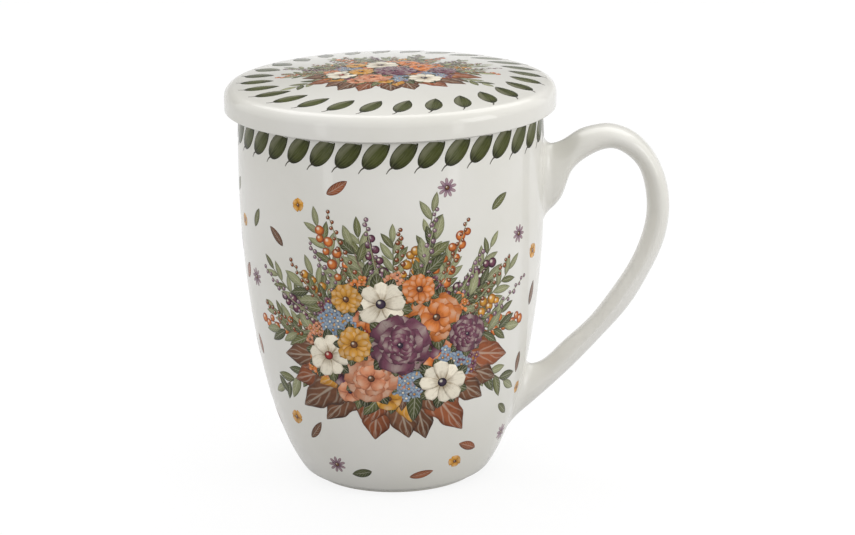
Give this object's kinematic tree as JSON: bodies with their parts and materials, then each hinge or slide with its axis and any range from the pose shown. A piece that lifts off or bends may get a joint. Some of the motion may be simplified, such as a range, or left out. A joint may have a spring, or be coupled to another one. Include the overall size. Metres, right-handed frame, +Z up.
{
  "type": "tea mug with infuser",
  "caption": "Lidded porcelain tea mug that widens upwards, with an ear-shaped handle, a loose overhanging lid and a perforated steel infuser that hangs from the rim.",
  "frame": {"origin": "centre of the foot ring, on the mug's axis at the level of the table", "axes": "+Z up the mug's axis, +X from the axis towards the handle"},
  "size_m": [0.1242, 0.0924, 0.116],
  "materials": {
    "body_glaze": "glossy warm white glaze with printed leaves and flowers",
    "handle_glaze": "glossy warm white glaze",
    "lid_glaze": "glossy warm white glaze with printed leaves and flowers",
    "rim_steel": "pressed and polished stainless steel",
    "wall_steel": "slotted stainless sheet, fine brushing",
    "base_steel": "perforated stainless sheet, fine brushing",
    "hoop_steel": "pressed and polished stainless steel"
  },
  "bodies": {
    "mug": {"mug_body": "body_glaze", "handle": "handle_glaze"},
    "infuser": {"infuser_rim": "rim_steel", "infuser_wall": "wall_steel", "infuser_base": "base_steel", "infuser_hoop": "hoop_steel"},
    "lid": {"lid": "lid_glaze"}
  },
  "joints": [
    {"name": "infuser_lift", "type": "slide", "parent": "mug", "child": "infuser", "axis": [0, 0, 1], "range_m": [0, 0.08]},
    {"name": "lid_lift", "type": "slide", "parent": "infuser", "child": "lid", "axis": [0, 0, 1], "range_m": [0, 0.04]}
  ]
}
